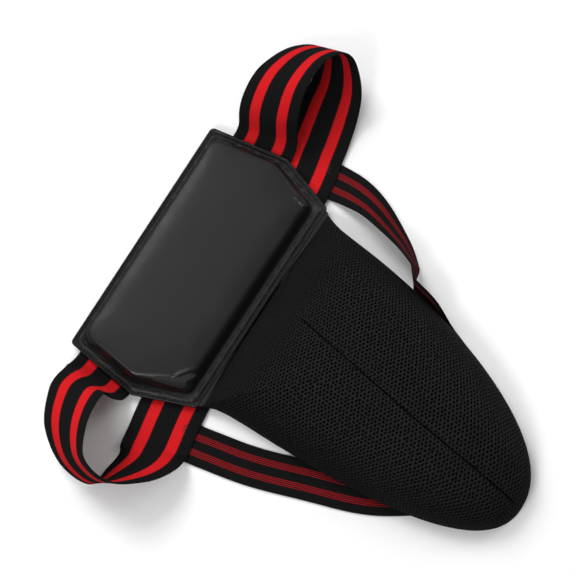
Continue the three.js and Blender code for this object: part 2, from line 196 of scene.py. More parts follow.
def stretched_noise(tree, vector, stretch, detail):
    mapped = node(tree, "ShaderNodeMapping", {"Vector": vector, "Scale": stretch})
    return noise(tree, mapped, 1.0, detail)


def pebbles(tree, vector, scale, depth, strength):
    """A bump of rounded grains with narrow furrows between them."""
    inputs = {"Vector": vector, "Scale": scale}
    edges = node(tree, "ShaderNodeTexVoronoi", inputs, feature="DISTANCE_TO_EDGE")
    return bump(tree, ramp(tree, edges, 0.0, 0.25), depth, strength)


def bump(tree, height, distance, strength=1.0, normal=None):
    inputs = {"Height": height, "Distance": distance, "Strength": strength}
    if normal is not None:
        inputs["Normal"] = normal
    return node(tree, "ShaderNodeBump", inputs)


def finish(color, roughness, normal, specular=0.5, sheen=0.0, sheen_roughness=0.5):
    """The Principled shader's sockets for one material."""
    return {
        "Base Color": color,
        "Roughness": roughness,
        "Normal": normal,
        "Specular IOR Level": specular,
        "Sheen Weight": sheen,
        "Sheen Roughness": sheen_roughness,
    }


def material(name, build):
    """A material whose Principled shader gets the sockets that build(tree) returns."""
    made = bpy.data.materials.new(name)
    made.use_nodes = True
    tree = made.node_tree
    set_inputs(tree, tree.nodes["Principled BSDF"], build(tree))
    return made


# ---- materials ----
def grey(level, blue=None):
    return (level, level, blue or level, 1)


def leather(tree):
    """Glossy imitation leather: fine pebble grain, soft creases and a slow colour drift."""
    where = place(tree)
    grain = pebbles(tree, where, 1500.0, 0.00003, 0.35)
    color = mix(tree, noise(tree, where, 28.0, 2.0), grey(0.004, 0.0043), grey(0.007, 0.0073))
    return finish(color, spread(tree, noise(tree, where, 60.0), 0.30, 0.38),
                  bump(tree, noise(tree, where, 160.0, 4.0), 0.0002, 0.25, grain), 0.38)


def folded_leather(tree):
    """The same leather where it is folded and sewn flat: duller, and crumpled along its seams."""
    where = place(tree)
    grain = pebbles(tree, where, 1300.0, 0.00005, 0.5)
    color = mix(tree, noise(tree, where, 90.0), grey(0.003, 0.0032), grey(0.007, 0.0073))
    return finish(color, spread(tree, noise(tree, where, 200.0), 0.30, 0.42),
                  bump(tree, noise(tree, where, 420.0, 4.0), 0.0005, 0.6, grain), 0.34)


def band_mask(tree, u, v, centre, half, tooth):
    """1 inside a stripe that runs along the strap at u = +-centre, its border teeth tooth mm long."""
    zigzag = maths(tree, "PINGPONG", v, TOOTH_PITCH_MM / 2)
    edge = maths(tree, "MULTIPLY", zigzag, 2 * tooth / TOOTH_PITCH_MM)
    off = maths(tree, "ABSOLUTE", maths(tree, "SUBTRACT", maths(tree, "ABSOLUTE", u), centre))
    return ramp(tree, maths(tree, "SUBTRACT", maths(tree, "ADD", edge, half), off), -0.05, 0.05)


def waist_stripes(tree, u, v):
    """Two broad red stripes with toothed borders."""
    return band_mask(tree, u, v, 11.5, 3.75, 0.95)


def leg_stripes(tree, u, v):
    """Four thin red lines in each of two groups."""
    group = band_mask(tree, u, v, 5.7, 2.5, 0.0)
    line = maths(tree, "PINGPONG", maths(tree, "SUBTRACT", maths(tree, "ABSOLUTE", u), 3.2), 0.68)
    return maths(tree, "MULTIPLY", group, ramp(tree, line, 0.33, 0.43))


def webbing(stripe_mask, red, red_dark):
    """Black webbing with red threads where stripe_mask says. On it u runs across and v along, in mm.

    Its warp threads step over every other rib."""
    def build(tree):
        where = node(tree, "ShaderNodeUVMap", uv_map="strap")
        u, v, _ = axes(tree, where)
        fibres = stretched_noise(tree, where, (7.0, 3.0, 1.0), 2.0)
        streaks = stretched_noise(tree, where, (2.2, 0.25, 1.0), 4.0)
        black = mix(tree, streaks, grey(0.003, 0.0032), grey(0.008, 0.0083))
        color = mix(tree, stripe_mask(tree, u, v), black, mix(tree, fibres, red_dark, red))
        weft = maths(tree, "MULTIPLY_ADD", wave(tree, v, 1.25), 0.5)
        threads = bump(tree, maths(tree, "MULTIPLY", wave(tree, u, 0.85), weft), 0.00012, 0.5)
        return finish(color, spread(tree, fibres, 0.75, 0.95), bump(tree, fibres, 0.0001, 0.3, threads),
                      0.08, 0.01, 0.4)
    return build


def woven(dark, light, pitch):
    """Plain-woven cloth with its threads along X and Y."""
    def build(tree):
        where = place(tree)
        x, y, _ = axes(tree, where)
        height = maths(tree, "MULTIPLY", wave(tree, x, pitch), wave(tree, y, pitch))
        color = mix(tree, noise(tree, where, 90.0), dark, light)
        return finish(color, 0.88, bump(tree, height, pitch * 0.2, 0.6), 0.1, 0.02)
    return build


def knit(tree):
    """The net's strands: bundles of fine filament with a slight sheen."""
    where = place(tree)
    filaments = noise(tree, where, 2600.0, 2.0)
    color = mix(tree, noise(tree, where, 45.0), grey(0.004, 0.0042), grey(0.008, 0.0083))
    return finish(color, spread(tree, filaments, 0.5, 0.75), bump(tree, filaments, 0.00012, 0.7), 0.15, 0.01)


def sewing_thread(dark, light, shine):
    """Twisted thread."""
    def build(tree):
        twist = noise(tree, place(tree), 4000.0, 2.0)
        return finish(mix(tree, twist, dark, light), 0.5, bump(tree, twist, 0.00005, 0.6), shine)
    return build


def cell_foam(tree):
    where = place(tree)
    pores = node(tree, "ShaderNodeTexVoronoi", {"Vector": where, "Scale": 900.0})
    color = mix(tree, noise(tree, where, 70.0), grey(0.012, 0.013), grey(0.02, 0.021))
    return finish(color, 0.95, bump(tree, pores, 0.0003, 0.6))


def cup_plastic(tree):
    where = place(tree)
    pebble = noise(tree, where, 1400.0, 2.0)
    color = mix(tree, noise(tree, where, 40.0), grey(0.045, 0.05), grey(0.06, 0.066))
    return finish(color, spread(tree, pebble, 0.38, 0.5), bump(tree, pebble, 0.00006, 0.5))


def cup_rubber(tree):
    where = place(tree)
    color = mix(tree, noise(tree, where, 55.0), grey(0.018), grey(0.028))
    return finish(color, 0.7, bump(tree, noise(tree, where, 1800.0), 0.0001, 0.5))


def pale_floor(tree):
    """A pale floor that throws little light back up at the guard."""
    where = place(tree)
    pale = mix(tree, noise(tree, where, 3.0), grey(0.88), grey(0.9))
    in_view = node(tree, "ShaderNodeLightPath")
    return {
        "Base Color": mix(tree, in_view, grey(0.2), pale),
        "Roughness": spread(tree, noise(tree, where, 40.0), 0.75, 0.85),
    }


RED = (0.70, 0.014, 0.018, 1)
RED_DARK = (0.38, 0.006, 0.009, 1)
LEG_RED = (0.36, 0.011, 0.016, 1)
LEG_RED_DARK = (0.20, 0.006, 0.009, 1)
LOOKS = {
    "leather": material("glossy_leather", leather),
    "folded_leather": material("folded_leather", folded_leather),
    "waist_webbing": material("waist_webbing", webbing(waist_stripes, RED, RED_DARK)),
    "leg_webbing": material("leg_webbing", webbing(leg_stripes, LEG_RED, LEG_RED_DARK)),
    "spacer_mesh": material("mesh_strands", knit),
    "lining": material("woven_lining", woven(grey(0.003, 0.0032), grey(0.006, 0.0063), 0.9 * MM)),
    "binding": material("binding_tape", woven(grey(0.004, 0.0042), grey(0.008, 0.0083), 0.6 * MM)),
    "thread": material("sewing_thread", sewing_thread(grey(0.012), grey(0.035, 0.036), 0.4)),
    # seam thread far darker and duller than the other blacks: partly its own colour, partly painted shade of
    # the seam's groove
    "seam_thread_and_painted_groove_shade": material("seam_thread_and_painted_groove_shade", sewing_thread(grey(0.0008), grey(0.002), 0.02)),
    "foam": material("cell_foam", cell_foam),
    "cup_plastic": material("cup_plastic", cup_plastic),
    "cup_rubber": material("cup_rubber", cup_rubber),
}


# ---- mesh helpers ----
def piece(name, points, faces, slot, uvs=None, look=None):
    """A smooth-shaded mesh object in frame coordinates, finished with its slot's look or another."""
    mesh = bpy.data.meshes.new(name)
    mesh.from_pydata([tuple(p) for p in points], [], faces)
    if uvs is not None:
        layer = mesh.uv_layers.new(name="strap")
        corners = np.zeros(len(mesh.loops), np.int32)
        mesh.loops.foreach_get("vertex_index", corners)
        layer.data.foreach_set("uv", np.asarray(uvs, np.float32)[corners].ravel())
    mesh.polygons.foreach_set("use_smooth", np.ones(len(mesh.polygons), bool))
    mesh.materials.append(LOOKS[look or slot])
    made = bpy.data.objects.new(name, mesh)
    SCENE.collection.objects.link(made)
    return made


def edited(obj, change):
    """The object after change(shape) has worked on its mesh as a bmesh."""
    shape = bmesh.new()
    shape.from_mesh(obj.data)
    change(shape)
    shape.to_mesh(obj.data)
    shape.free()
    return obj


def face_outwards(obj):
    return edited(obj, lambda shape: bmesh.ops.recalc_face_normals(shape, faces=shape.faces))


def ring_faces(rows, columns, closed_rows=False):
    """Quads of a grid of rows of columns points, each row a closed ring."""
    faces = []
    for r in range(rows if closed_rows else rows - 1):
        for c in range(columns):
            a = r * columns
            b = (r + 1) % rows * columns
            d = (c + 1) % columns
            faces.append((a + c, a + d, b + d, b + c))
    return faces


def applied(obj):
    """The object's mesh with its modifiers applied, in place of its own mesh."""
    bpy.context.view_layer.update()
    graph = bpy.context.evaluated_depsgraph_get()
    result = bpy.data.meshes.new_from_object(obj.evaluated_get(graph))
    obj.modifiers.clear()
    obj.data = result
    return obj


def vertices(obj):
    flat = np.zeros(len(obj.data.vertices) * 3, np.float32)
    obj.data.vertices.foreach_get("co", flat)
    return flat.reshape(-1, 3).astype(float)


def set_vertices(obj, points):
    obj.data.vertices.foreach_set("co", np.asarray(points, np.float32).ravel())
    obj.data.update()


def unit(rows):
    """Each row scaled to length 1."""
    return rows / np.linalg.norm(rows, axis=-1, keepdims=True)


def distances(points):
    """How far along a line of points each one lies."""
    return np.concatenate([[0], np.cumsum(np.linalg.norm(np.diff(points, axis=0), axis=1))])


def smooth_noise(points, scale, seed):
    """A slow, seeded wobble between -1 and 1 at each point: a sum of a few waves."""
    random = np.random.default_rng(seed)
    total = np.zeros(len(points))
    for _ in range(6):
        direction = unit(random.normal(size=3))
        turns = 2 * pi / scale * random.uniform(0.6, 1.6)
        total += np.sin(points @ direction * turns + random.uniform(0, 6.3))
    return total / 6


def interpolate(x, known_x, known):
    """Smooth curve through known values: cubic pieces whose slopes come from the neighbours."""
    slope = np.gradient(known, known_x, axis=0)
    k = np.clip(np.searchsorted(known_x, x) - 1, 0, len(known_x) - 2)
    span = (known_x[k + 1] - known_x[k])[:, None]
    t = ((x - known_x[k])[:, None]) / span
    return ((2 * t**3 - 3 * t**2 + 1) * known[k] + (t**3 - 2 * t**2 + t) * span * slope[k]
            + (3 * t**2 - 2 * t**3) * known[k + 1] + (t**3 - t**2) * span * slope[k + 1])


def capsules(name, path, radius, length_share, dip, look="thread"):
    """Stitches: one short thread between each pair of neighbours on path, its ends dipping in.

    path holds (point, up) pairs."""
    sides = 6
    stations = (-0.5, -0.4, -0.2, 0.0, 0.2, 0.4, 0.5)
    points, faces = [], []
    for (start, up), (end, _) in zip(path, path[1:]):
        along = (end - start) * length_share
        middle = (start + end) / 2
        side = along.cross(up).normalized()
        base = len(points)
        for s in stations:
            sink = dip * (abs(s) * 2) ** 3
            thick = radius * sqrt(max(1 - (abs(s) * 2) ** 4, 0.08))
            for i in range(sides):
                angle = 2 * pi * i / sides
                offset = side * cos(angle) + up * sin(angle)
                points.append(middle + along * s - up * sink + offset * thick)
        faces += [tuple(base + i for i in face) for face in ring_faces(len(stations), sides)]
        faces.append(tuple(base + i for i in range(sides)))
        faces.append(tuple(base + (len(stations) - 1) * sides + i for i in reversed(range(sides))))
    return face_outwards(piece(name, points, faces, "thread", look=look))


# ---- outlines, mm ----
def rounded_corner(corner, before, after, inset, radius):
    pieces = 16
    half = acos(max(-1.0, min(1.0, before @ after))) / 2
    bisector = unit(before + after)
    centre = corner + bisector * (inset + radius) / sin(half)
    middle = atan2(-bisector[1], -bisector[0])
    sweep = pi / 2 - half
    angles = middle + sweep * (2 * np.arange(pieces + 1) / pieces - 1)
    return [centre + radius * np.array([cos(a), sin(a)]) for a in angles]


def pad_outline(inset):
    """The pad's six-sided outline moved inwards, with rounded corners."""
    corners = np.array([
        [-PAD_LOWER_MM, 0], [PAD_LOWER_MM, 0], [PAD_WIDEST_MM, PAD_SHOULDER_MM],
        [PAD_UPPER_MM, PAD_HEIGHT_MM], [-PAD_UPPER_MM, PAD_HEIGHT_MM], [-PAD_WIDEST_MM, PAD_SHOULDER_MM],
    ])
    points = []
    for i, corner in enumerate(corners):
        before = unit(corners[i - 1] - corner)
        after = unit(corners[(i + 1) % 6] - corner)
        points += rounded_corner(corner, before, after, inset, PAD_CORNER_MM + inset * 0.45)
    outline = np.array(points)
    x, y = outline.T
    near_waist = np.clip((y - PAD_SHOULDER_MM) / (PAD_HEIGHT_MM - PAD_SHOULDER_MM), 0, 1) ** 2
    near_fold = np.clip(1 - y / PAD_SHOULDER_MM, 0, 1) ** 2
    dip = PAD_WAIST_DIP_MM * sag(x, PAD_WAIST_DIP_X_MM, PAD_UPPER_MM - inset)
    dip -= PAD_WAIST_SKEW_MM * x / PAD_UPPER_MM
    outline[:, 1] = y - dip * near_waist + lower_bow_mm(x) * near_fold
    return outline


def sag(x, lowest_x, half):
    """A smooth hollow between -half and half, 1 at lowest_x and 0 at both ends."""
    reach = np.where(x < lowest_x, half + lowest_x, half - lowest_x)
    return np.clip(1 - ((x - lowest_x) / reach) ** 2, 0, None) ** 1.3


def lower_bow_mm(x):
    """How far the pad's lower edge is pulled up between its corners."""
    return PAD_LOWER_BOW_MM * sag(x, PAD_LOWER_BOW_X_MM, PAD_LOWER_MM - 6)


def total_length(outline):
    return np.linalg.norm(np.roll(outline, -1, 0) - outline, axis=1).sum()


def even_steps(outline, count):
    """A closed outline resampled at count even steps from its first point."""
    closed = np.vstack([outline, outline[:1]])
    run = distances(closed)
    wanted = np.linspace(0, run[-1], count, endpoint=False)
    return np.column_stack([np.interp(wanted, run, closed[:, i]) for i in range(closed.shape[1])])


def lean_mm(y):
    return -POUCH_LEAN_MM * (np.abs(y) / POUCH_LENGTH_MM) ** LEAN_POWER


def pouch_outline(inset, curve_pieces, top_pieces):
    """The pouch's straight upper edge and leaning half ellipse, anticlockwise from the upper left."""
    half = POUCH_HALF_MM - inset
    top = -FOLD_CLEARANCE_MM - inset
    length = POUCH_LENGTH_MM - inset + top
    angle = pi + pi * np.arange(curve_pieces + 1) / curve_pieces
    y = top + length * np.sin(angle)
    reach = np.sign(np.cos(angle)) * np.abs(np.cos(angle)) ** POUCH_SIDE_POWER
    flare = POUCH_FLARE_MM * np.exp((y - top) / 10) * np.sign(reach)
    curve = np.column_stack([lean_mm(y) + half * reach + flare, y])
    share = 1 - 2 * np.arange(1, top_pieces) / top_pieces
    edge = np.column_stack([lean_mm(top) + (half + POUCH_FLARE_MM) * share, np.full(top_pieces - 1, top)])
    return np.vstack([curve, edge])


# ---- straps ----
def strap_sections(name, width, first):
    """Centre and width direction of each cross-section of a CAD strap, in order along it.

    Each section has two edges exactly as long as the strap is wide. first gives the value that is
    lowest at the section where the strap starts."""
    shape = bmesh.new()
    shape.from_mesh(frame["nodes"][name].data)
    bmesh.ops.remove_doubles(shape, verts=shape.verts, dist=1e-5)
    edges = [e for e in shape.edges if abs(e.calc_length() - width) < 6e-5]
    middles = [(e.verts[0].co + e.verts[1].co) / 2 for e in edges]
    spans = [(e.verts[1].co - e.verts[0].co).normalized() for e in edges]
    left = set(range(len(edges)))
    sections = []
    while left:
        i = left.pop()
        same = [j for j in left
                if (middles[j] - middles[i]).length < 2 * MM and abs(spans[i].dot(spans[j])) > 0.999]
        if same:
            j = min(same, key=lambda k: (middles[k] - middles[i]).length)
            left.remove(j)
            sections.append(((middles[i] + middles[j]) / 2, spans[i]))
    shape.free()
    ordered = [min(sections, key=lambda s: first(s[0]))]
    sections.remove(ordered[0])
    while sections:
        nearest = min(sections, key=lambda s: (s[0] - ordered[-1][0]).length)
        sections.remove(nearest)
        ordered.append(nearest)
    return ordered


def line_up(sections, start_across):
    """Arrays of centres and width directions, the directions all turned the same way."""
    centres = np.array([c for c, _ in sections], float)
    across = np.array([a for _, a in sections], float)
    if across[0] @ np.array(start_across) < 0:
        across[0] *= -1
    for k in range(1, len(across)):
        if across[k] @ across[k - 1] < 0:
            across[k] *= -1
    return centres, across


def thinned(sections, gap):
    """The sections without those that follow another one more closely than gap."""
    kept = sections[:1]
    for section in sections[1:]:
        if (section[0] - kept[-1][0]).length > gap:
            kept.append(section)
    kept[-1] = sections[-1]
    return kept


def smoothed(values, reach):
    """Running average over reach rows each way, which leaves both end rows where they are."""
    window = np.hanning(2 * reach + 3)[1:-1]
    window /= window.sum()
    padded = np.pad(values, ((reach, reach), (0, 0)), "reflect", reflect_type="odd")
    return np.column_stack([np.convolve(column, window, "valid") for column in padded.T])


def turned_up(middle, sideways, normal, edge):
    """Places of a strap's lengthwise line, edge away from its middle, and the way it faces there.

    Below the twist, what is still outside the pouch is creased upwards along the pouch's edge."""
    spot = middle + sideways * edge[:, None]
    outline = np.array([tuple(at(x, y, 0)) for x, y in pouch_outline(-1.5, 200, 20)])
    run = np.roll(outline, -1, 0) - np.roll(outline, 1, 0)
    outwards = unit(np.column_stack([run[:, 1], -run[:, 0], 0 * run[:, 0]]))
    nearest = np.linalg.norm(spot[:, None, :2] - outline[None, :, :2], axis=2).argmin(1)
    out = outwards[nearest]
    beyond = np.clip(((spot - outline[nearest]) * out)[:, :2].sum(1), 0, None)
    slope = np.clip(np.abs((sideways * out).sum(1)), 0.02, 1)
    lift = beyond * (1 - np.sqrt(1 - slope**2)) / slope
    creased = spot - out * beyond[:, None] + np.array([0, 0, 1]) * lift[:, None]
    y_mm = (middle[:, 1] - ORIGIN.y) / MM
    amount = np.clip((CREASE_START_MM - y_mm) / CREASE_FADE_MM, 0, 1)
    amount = (amount * amount * (3 - 2 * amount))[:, None]
    side = np.sign(normal[:, 2] * 0.2 - (normal * out).sum(1))
    faced = np.where((beyond > 0)[:, None], -out * side[:, None], normal)
    faced = normal * (1 - amount) + faced * amount
    return spot * (1 - amount) + creased * amount, unit(faced)


def strap(name, sections, start_across, width, thickness, slot, rib_height, ripple, seed, crease=False):
    """A ribbed elastic strap along its sections: closed, with rounded selvedges and real ribs."""
    centres, across = line_up(thinned(sections, 4 * MM), start_across)
    run = distances(centres)
    rows = int(run[-1] / RIB_PITCH * RIB_SAMPLES) + 1
    along = np.linspace(0, run[-1], rows)
    reach = round(8 * MM / RIB_PITCH * RIB_SAMPLES)
    middle = smoothed(interpolate(along, run, centres), reach)
    sideways = smoothed(interpolate(along, run, across), reach)
    tangent = unit(np.gradient(middle, along, axis=0))
    sideways = unit(sideways - (sideways * tangent).sum(1, keepdims=True) * tangent)
    normal = np.cross(sideways, tangent)
    columns = 18
    share = np.sin(np.linspace(-pi / 2, pi / 2, columns))
    rib = 0.5 - 0.5 * np.cos(2 * pi * along / RIB_PITCH)
    wobble = smooth_noise(np.column_stack([along, along * 0, along * 0]), 55 * MM, seed) * ripple
    grid = np.zeros((rows, 2 * columns, 3))
    uvs = np.zeros((rows, 2 * columns, 2))
    for c in range(2 * columns):
        top = c < columns
        u = share[c] if top else share[2 * columns - 1 - c]
        selvedge = max(0.0, 1 - abs(abs(u) - 0.93) / 0.07)
        thick = thickness / 2 * (sqrt(max(1 - abs(u) ** 14, 0.0)) * 0.8 + 0.12 + 0.12 * selvedge)
        height = (1 if top else -1) * (thick + rib * rib_height * (1 - abs(u) ** 8))
        edge = u * (width / 2 + rib * rib_height)
        spot, facing = middle + sideways * edge[:, None], normal
        if crease:
            spot, facing = turned_up(middle, sideways, normal, edge)
        grid[:, c] = spot + facing * (height + wobble * abs(u) ** 3 * np.sign(u))[:, None]
        uvs[:, c, 0] = u * width / 2 / MM
        uvs[:, c, 1] = along / MM
    faces = ring_faces(rows, 2 * columns)
    faces.append(tuple(range(2 * columns)))
    faces.append(tuple((rows - 1) * 2 * columns + c for c in reversed(range(2 * columns))))
    return face_outwards(piece(name, grid.reshape(-1, 3), faces, slot, uvs.reshape(-1, 2)))


def waistband_side(side):
    """Half of the waistband's ring on one side: front run, rolled loop and back run."""
    name = "right" if side > 0 else "left"
    front = strap_sections("waistband_front", WAIST_WIDTH, lambda c: side * c.x)
    loop = strap_sections("waistband_loop_" + name, WAIST_WIDTH,
                          lambda c: side * (c.x - ORIGIN.x) - c.y * 0.01)
    back = strap_sections("waistband_back", WAIST_WIDTH, lambda c: -side * c.x)
    front, back = ([s for s in run if side * (s[0].x - ORIGIN.x) > -1 * MM] for run in (front, back))
    band = strap("waistband_" + name, front + loop + back, (0, -1, 0), WAIST_WIDTH, WAIST_THICK,
                 "waist_webbing", 0.10 * MM, 0.25 * MM, 3 if side > 0 else 4)
    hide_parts("waistband_front", "waistband_back", "waistband_loop_" + name)
    front_cut = loop[0][0]
    cut_line = (loop[-1][0] - front_cut) * Vector((1, 1, 0))
    outwards = UP.cross(cut_line).normalized()
    if outwards.x * side < 0:
        outwards = -outwards
    return band, front_cut + outwards * -10 * MM, front_cut + outwards * 30 * MM


def leg_strap(name):
    """A leg strap with its sewn end, from under the waistband to the pouch's tip."""
    end = strap_sections("leg_strap_end_" + name, LEG_WIDTH, lambda c: -c.y)
    free = strap_sections("leg_strap_" + name, LEG_WIDTH, lambda c: -c.y)
    made = strap("leg_strap_webbing_" + name, end + free, (1, 0, 0) if name == "right" else (-1, 0, 0),
                 LEG_WIDTH, LEG_THICK, "leg_webbing", 0.015 * MM, 0.2 * MM, 5 if name == "right" else 6,
                 crease=name == "right")
    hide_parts("leg_strap_end_" + name, "leg_strap_" + name)
    start = end[-1][0]
    heading = (free[3][0] - start).normalized()
    return made, start, start + heading * 30 * MM


def bartack(name):
    """A few zigzag stitches over a leg strap's sewn end."""
    low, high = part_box("leg_strap_bartack_" + name)
    middle = (low + high) / 2
    teeth = 4
    path = []
    for i in range(teeth + 1):
        share = i / teeth
        swing = 1.6 * MM if i % 2 else -1.6 * MM
        y = middle.y + (high.y - low.y) * 0.5 * (share - 0.5) + swing
        path.append((Vector((low.x + (high.x - low.x) * share, y, low.z + 0.1 * MM)), UP))
    made = capsules("leg_strap_zigzag_" + name, path, 0.22 * MM, 1.0, 0.3 * MM)
    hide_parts("leg_strap_bartack_" + name)
    return made


# ---- pad ----
def swell(obj, pinned, pressure, cap, frames=20):
    """Cloth simulation under pressure, with no point moved further than cap."""
    rest = vertices(obj)
    group = obj.vertex_groups.new(name="pinned")
    group.add([int(i) for i in np.nonzero(pinned)[0]], 1.0, "REPLACE")
    cloth = obj.modifiers.new("Cloth", "CLOTH")
    leather_sheet = {
        "quality": 6, "mass": 0.3, "tension_stiffness": 18, "compression_stiffness": 18,
        "shear_stiffness": 6, "bending_stiffness": 0.6, "use_pressure": True,
        "uniform_pressure_force": pressure, "vertex_group_mass": "pinned",
    }
    for key, value in leather_sheet.items():
        setattr(cloth.settings, key, value)
    cloth.settings.effector_weights.gravity = 0.0
    cloth.point_cache.frame_start = 1
    cloth.point_cache.frame_end = frames
    for current in range(1, frames + 1):
        SCENE.frame_set(current)
    applied(obj)
    SCENE.frame_set(1)
    moved = evened(obj, vertices(obj) - rest, 30)
    length = np.linalg.norm(moved, axis=1, keepdims=True)
    limit = cap * np.tanh(length / cap)
    set_vertices(obj, rest + moved * limit / np.maximum(length, 1e-9))
    obj.vertex_groups.clear()
    return obj


def evened(obj, field, rounds):
    """One value per vertex, averaged with its neighbours' again and again."""
    ends = np.zeros(len(obj.data.edges) * 2, np.int32)
    obj.data.edges.foreach_get("vertices", ends)
    a, b = ends.reshape(-1, 2).T
    neighbours = 1 + np.bincount(a, minlength=len(field)) + np.bincount(b, minlength=len(field))
    for _ in range(rounds):
        total = field.copy()
        np.add.at(total, a, field[b])
        np.add.at(total, b, field[a])
        field = total / neighbours[:, None]
    return field


def disc(name, rings, slot):
    """A surface of rings of equal length, drawn together to a last point in the middle."""
    count = len(rings[0])
    points = np.vstack(rings + [rings[-1].mean(0)])
    last = (len(rings) - 1) * count
    faces = ring_faces(len(rings), count)
    faces += [(last + i, last + (i + 1) % count, len(points) - 1) for i in range(count)]
    return face_outwards(piece(name, points, faces, slot))


def pad_ring(inset, shift, z, count, tuck=0.0):
    """A ring of frame positions on the pad's outline moved inwards and towards the waist.

    tuck, from 0 to 1, also draws it in beside the lower corners, and more so on the left."""
    x, y = even_steps(pad_outline(inset), count).T
    low = np.clip((50 - y) / 35, 0, 1)
    x = x + tuck * low * np.where(x < 0, TUCK_LEFT_MM, -TUCK_RIGHT_MM) * np.clip(np.abs(x) / 60, 0, 1)
    return np.array([tuple(at(a, b + shift, z)) for a, b in zip(x, y)])


def pad_pillow():
    """The leather pillow: a low shell blown up by a cloth simulation, with tucked lower corners."""
    count = 200
    steps = 7
    foot = pad_ring(PAD_BORDER_MM - 0.6, PILLOW_FOOT_SHIFT_MM, PAD_BORDER_Z - 2 * MM, count)
    rings = [foot]
    for i in range(steps + 1):
        angle = pi / 2 * i / steps
        inwards = 1 - cos(angle)
        shift = PILLOW_FOOT_SHIFT_MM + (PILLOW_TOP_SHIFT_MM - PILLOW_FOOT_SHIFT_MM) * inwards
        z = PAD_BORDER_Z + (PILLOW_RISE - 1.4 * MM) * sin(angle)
        rings.append(pad_ring(PAD_BORDER_MM + PILLOW_WALL_MM * inwards, shift, z, count, inwards))
    top = rings[-1]
    middle = top.mean(0)
    for share in np.linspace(0.05, 0.95, 19):
        rings.append(top + (middle - top) * share)
    pillow = disc("pad_pillow", rings, "leather")
    start = vertices(pillow)
    swell(pillow, start[:, 2] < PAD_BORDER_Z + 0.5 * MM, 4.0, 1.5 * MM)
    smooth = pillow.modifiers.new("Smooth", "SMOOTH")
    smooth.iterations = 1
    finer = pillow.modifiers.new("Finer", "SUBSURF")
    finer.levels = 2
    finer.render_levels = 2
    applied(pillow)
    tuck_corners(pillow)
    return pillow


def tuck_corners(pillow):
    """Sharp little creases where the leather is gathered at the pillow's lower corners."""
    creases = (((-86, 28), (-71, 17), 1.0), ((-88, 21), (-73, 11), 0.9), ((-80, 21), (-70, 12), -0.7),
               ((81, 15), (83.5, 23), 1.5), ((81, 15), (87, 9), 1.3), ((81, 15), (76, 11), 0.8))
    points = vertices(pillow)
    flat = points[:, :2]
    for (x0, y0), (x1, y1), height in creases:
        start = np.array(at(x0, y0, 0))[:2]
        end = np.array(at(x1, y1, 0))[:2]
        share = np.clip((flat - start) @ (end - start) / ((end - start) @ (end - start)), 0, 1)
        away = np.linalg.norm(flat - start - share[:, None] * (end - start), axis=1)
        along = 0.35 + 0.65 * np.sin(pi * share)
        points[:, 2] += height * MM * np.exp(-((away / (1.3 * MM)) ** 2)) * along
    set_vertices(pillow, points)


def pad_back():
    """The woven cloth on the pad's back: a thin closed sheet, slack between its sewn edges."""
    count = 200
    low = LINING_LOW.z + 0.15 * MM
    levels = ((0.6, LINING_HIGH.z - 0.1 * MM), (0.2, (low + LINING_HIGH.z) / 2), (0.6, low))
    rings = [pad_ring(inset, 0, z, count) for inset, z in levels]
    edge = rings[-1]
    middle = edge.mean(0)
    for share in np.linspace(0.03, 0.97, 32):
        ring = edge + (middle - edge) * share
        ring[:, 2] += smooth_noise(ring, 60 * MM, 9) * 0.12 * MM * min(1, share * 5)
        rings.append(ring)
    return disc("pad_back_cloth", rings, "lining")


def border_height(inset, run):
    """Height of the stitched border above its flat level, for arrays of inset and distance, mm."""
    groove = -0.95 * np.exp(-((inset - STITCH_INSET_MM) / 0.75) ** 2)
    pucker = 0.5 + 0.5 * np.cos(2 * pi * run / STITCH_PITCH_MM)
    channel = groove * (0.3 + 0.7 * pucker)
    puff = 0.7 * np.exp(-((inset - 5.0) / 1.5) ** 2) * (1 + 0.5 * np.sin(run / 1.7) * np.sin(run / 5.1))
    lip = 0.35 * np.exp(-((inset - 1.0) / 0.6) ** 2) * (1 - 0.7 * pucker)
    return channel + puff + lip


def pad_border():
    """The flat leather border: rounded outer edge, stitched channel and puckers."""
    insets = [10.5, 9.0, 8.2, 7.5, 6.8, 6.1, 5.4, 4.8, 4.2, 3.7, 3.3, 2.95, 2.6, 2.25, 1.9, 1.5, 1.1,
              0.8, 0.5, 0.25, 0.08, 0.0]
    count = round(total_length(pad_outline(0)) / 0.62)
    top = PAD_BORDER_Z - 0.15 * MM
    rows = []
    for inset in insets:
        outline = even_steps(pad_outline(inset), count)
        run = np.arange(count) * total_length(outline) / count
        turn = 0.75 * (1 - min(inset / 0.8, 1)) ** 2
        lift = border_height(np.full(count, inset), run) - turn
        rows.append([at(x, y, top + z * MM) for (x, y), z in zip(outline, lift)])
    for inset, drop in ((0.0, 1.15), (0.35, 1.5), (10.5, 1.5)):
        outline = even_steps(pad_outline(inset), count)
        rows.append([at(x, y, top - drop * MM) for x, y in outline])
    return tube("pad_border", rows, "leather", look="folded_leather")


def stitch_line(name, outline, count, z, radius, length_share, dip):
    """A closed line of evenly spaced stitches."""
    ring = even_steps(outline, count)
    path = [(at(x, y, z), UP) for x, y in np.vstack([ring, ring[:1]])]
    return capsules(name, path, radius, length_share, dip)


def pad_stitches():
    outline = pad_outline(STITCH_INSET_MM)
    count = round(total_length(outline) / STITCH_PITCH_MM)
    return stitch_line("pad_border_stitches", outline, count, PAD_BORDER_Z - 0.12 * MM,
                       0.36 * MM, 0.66, 0.45 * MM)


def closing_stitches():
    """The small stitched box on the border's left side, next to the lower left corner."""
    corner = np.array([-PAD_LOWER_MM, 0.0])
    along = unit(np.array([-PAD_WIDEST_MM, PAD_SHOULDER_MM]) - corner)
    inwards = np.array([along[1], -along[0]])
    box = [(5, 3.9), (24, 3.9), (24, 7), (5, 7)]
    outline = np.array([corner + along * length + inwards * inset for length, inset in box])
    return stitch_line("pad_closing_stitches", outline, 18, PAD_BORDER_Z + 0.12 * MM,
                       0.28 * MM, 0.7, 0.3 * MM)


